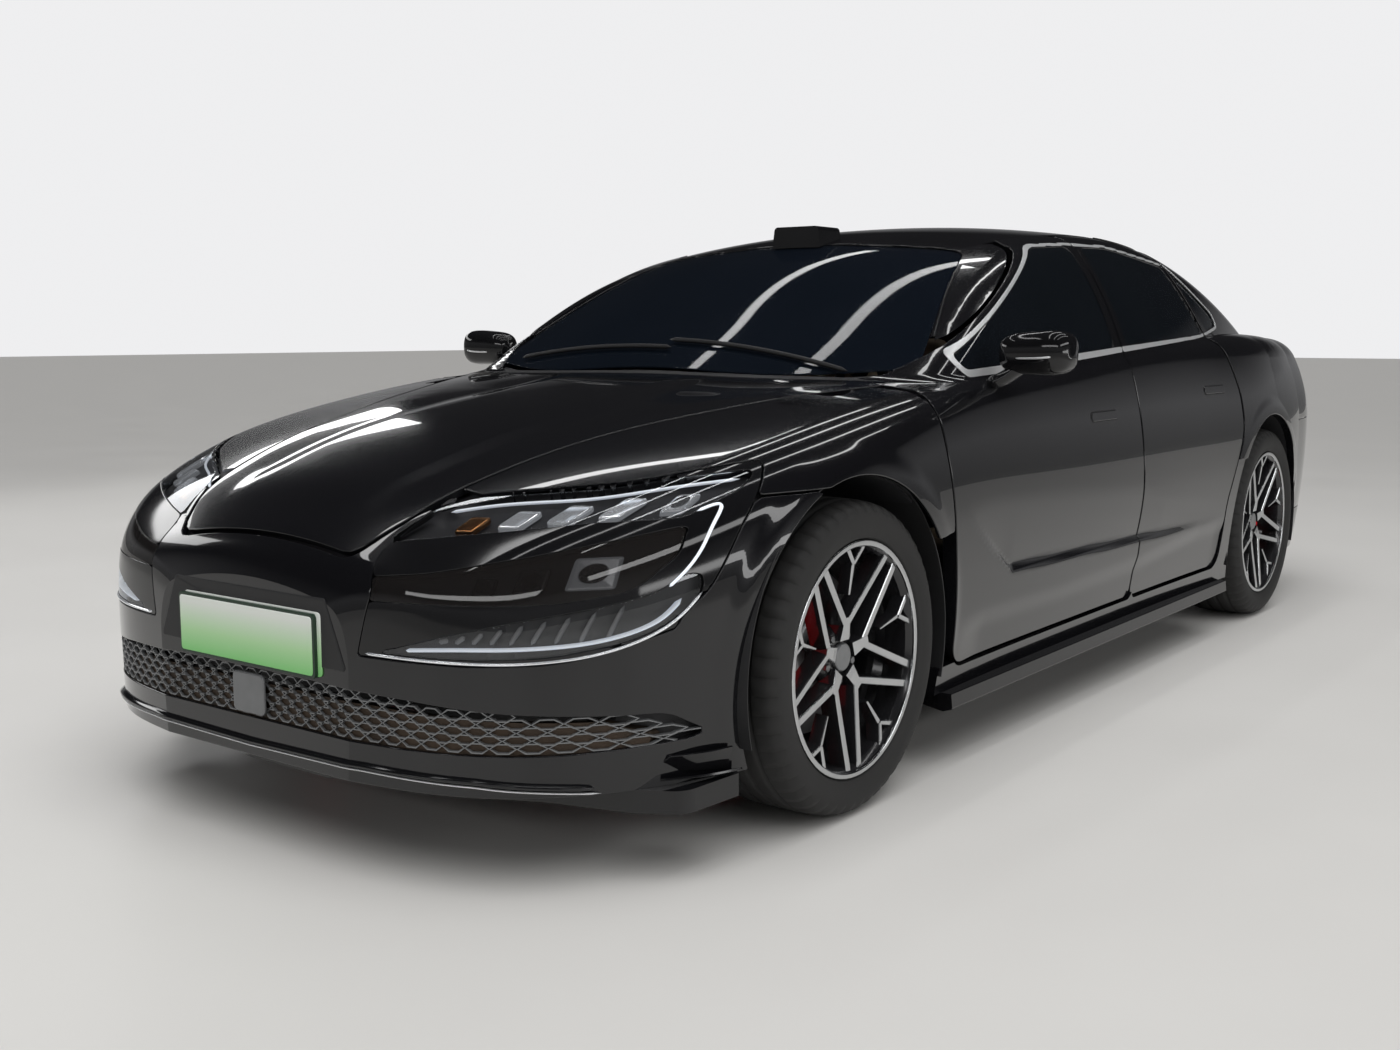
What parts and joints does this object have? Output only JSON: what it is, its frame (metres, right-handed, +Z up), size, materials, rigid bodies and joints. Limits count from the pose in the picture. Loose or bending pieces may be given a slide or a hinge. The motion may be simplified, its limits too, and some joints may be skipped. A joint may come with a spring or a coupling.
{
  "type": "sedan car",
  "caption": "Long four-door electric saloon car with opening doors, bonnet and boot lid, rolling wheels, steering, hollow cabin and boot.",
  "frame": {"origin": "on the ground, in the middle of the car's length and width", "axes": "+Z up, -Y forward, +X to the car's left"},
  "size_m": [2.2612, 5.22, 1.503],
  "materials": {
    "body_paint": "gloss black paint under clear coat",
    "gloss_black": "gloss black moulding",
    "black_plastic": "moulded black plastic",
    "tinted_glass": "dark tinted glass",
    "screen_glass": "laminated screen glass",
    "lamp_clear": "clear lamp cover",
    "lamp_red": "red lamp cover",
    "plate": "painted aluminium plate",
    "structure_steel": "dark coated sheet steel",
    "tyre_rubber": "tyre rubber",
    "rim_alloy": "machined alloy",
    "chassis_alloy": "cast alloy",
    "pack_alloy": "alloy housing",
    "cabin_dark": "dark soft-touch plastic",
    "seat_leather": "beige leather"
  },
  "bodies": {
    "body": {"battery_pack": "pack_alloy", "cowl": "gloss_black", "dashboard": "cabin_dark", "drive_units": "pack_alloy", "floor_pan": "structure_steel", "front_bumper": "body_paint", "front_seats": "seat_leather", "front_splitter": "gloss_black", "front_structure": "structure_steel", "front_suspension": "chassis_alloy", "headlamps": "lamp_clear", "lidar_pod": "gloss_black", "lower_grille": "black_plastic", "number_plate": "plate", "quarter_glass": "tinted_glass", "rear_bumper": "body_paint", "rear_diffuser": "gloss_black", "rear_seat": "seat_leather", "rear_structure": "structure_steel", "rear_suspension": "chassis_alloy", "rear_window": "tinted_glass", "roof_panel": "gloss_black", "side_frame_left": "body_paint", "side_frame_right": "body_paint", "side_skirts": "gloss_black", "tail_lamps": "lamp_red", "windscreen": "screen_glass", "wing_left": "body_paint", "wing_right": "body_paint"},
    "door_front_left": {"door_front_left": "body_paint", "door_glass_front_left": "tinted_glass", "mirror_left": "gloss_black"},
    "door_rear_left": {"door_rear_left": "body_paint", "door_glass_rear_left": "tinted_glass"},
    "steer_carrier_left": {"knuckle_left": "chassis_alloy"},
    "wheel_front_left": {"tyre_front_left": "tyre_rubber", "wheel_front_left": "rim_alloy"},
    "wheel_rear_left": {"tyre_rear_left": "tyre_rubber", "wheel_rear_left": "rim_alloy"},
    "door_front_right": {"door_front_right": "body_paint", "door_glass_front_right": "tinted_glass", "mirror_right": "gloss_black"},
    "door_rear_right": {"door_rear_right": "body_paint", "door_glass_rear_right": "tinted_glass"},
    "steer_carrier_right": {"knuckle_right": "chassis_alloy"},
    "wheel_front_right": {"tyre_front_right": "tyre_rubber", "wheel_front_right": "rim_alloy"},
    "wheel_rear_right": {"tyre_rear_right": "tyre_rubber", "wheel_rear_right": "rim_alloy"},
    "bonnet": {"bonnet": "body_paint"},
    "boot_lid": {"boot_lid": "body_paint"},
    "steering_wheel": {"steering_wheel": "cabin_dark"}
  },
  "joints": [
    {"name": "steer_left", "type": "hinge", "parent": "body", "child": "steer_carrier_left", "pos_m": [0.777, -1.63, 0.372], "axis": [0, 0, 1], "range_deg": [-33, 33]},
    {"name": "door_front_left_hinge", "type": "hinge", "parent": "body", "child": "door_front_left", "pos_m": [0.99, -1.2144, 0.6], "axis": [0, 0, -1], "range_deg": [0, 65]},
    {"name": "door_rear_left_hinge", "type": "hinge", "parent": "body", "child": "door_rear_left", "pos_m": [0.979, 0.143, 0.6], "axis": [0, 0, -1], "range_deg": [0, 70]},
    {"name": "wheel_front_left_spin", "type": "hinge", "parent": "steer_carrier_left", "child": "wheel_front_left", "pos_m": [0.852, -1.63, 0.372], "axis": [1, 0, 0], "continuous": true},
    {"name": "wheel_rear_left_spin", "type": "hinge", "parent": "body", "child": "wheel_rear_left", "pos_m": [0.852, 1.495, 0.372], "axis": [1, 0, 0], "continuous": true},
    {"name": "door_front_right_hinge", "type": "hinge", "parent": "body", "child": "door_front_right", "pos_m": [-0.99, -1.2144, 0.6], "axis": [0, 0, 1], "range_deg": [0, 65]},
    {"name": "door_rear_right_hinge", "type": "hinge", "parent": "body", "child": "door_rear_right", "pos_m": [-0.979, 0.143, 0.6], "axis": [0, 0, 1], "range_deg": [0, 70]},
    {"name": "steer_right", "type": "hinge", "parent": "body", "child": "steer_carrier_right", "pos_m": [-0.777, -1.63, 0.372], "axis": [0, 0, 1], "range_deg": [-33, 33]},
    {"name": "wheel_front_right_spin", "type": "hinge", "parent": "steer_carrier_right", "child": "wheel_front_right", "pos_m": [-0.852, -1.63, 0.372], "axis": [1, 0, 0], "continuous": true},
    {"name": "wheel_rear_right_spin", "type": "hinge", "parent": "body", "child": "wheel_rear_right", "pos_m": [-0.852, 1.495, 0.372], "axis": [1, 0, 0], "continuous": true},
    {"name": "bonnet_hinge", "type": "hinge", "parent": "body", "child": "bonnet", "pos_m": [0, -1.094, 1], "axis": [-1, 0, 0], "range_deg": [0, 50]},
    {"name": "boot_lid_hinge", "type": "hinge", "parent": "body", "child": "boot_lid", "pos_m": [0, 2.121, 1.137], "axis": [1, 0, 0], "range_deg": [0, 75]},
    {"name": "steering_column", "type": "hinge", "parent": "body", "child": "steering_wheel", "pos_m": [0.37, -0.4581, 0.903], "axis": [0, -0.9135, -0.4067], "range_deg": [-480, 480]}
  ],
  "couplings": [
    {"joint": "steer_right", "follows": "steer_left", "ratio": 1},
    {"joint": "steering_column", "follows": "steer_left", "ratio": -14}
  ]
}
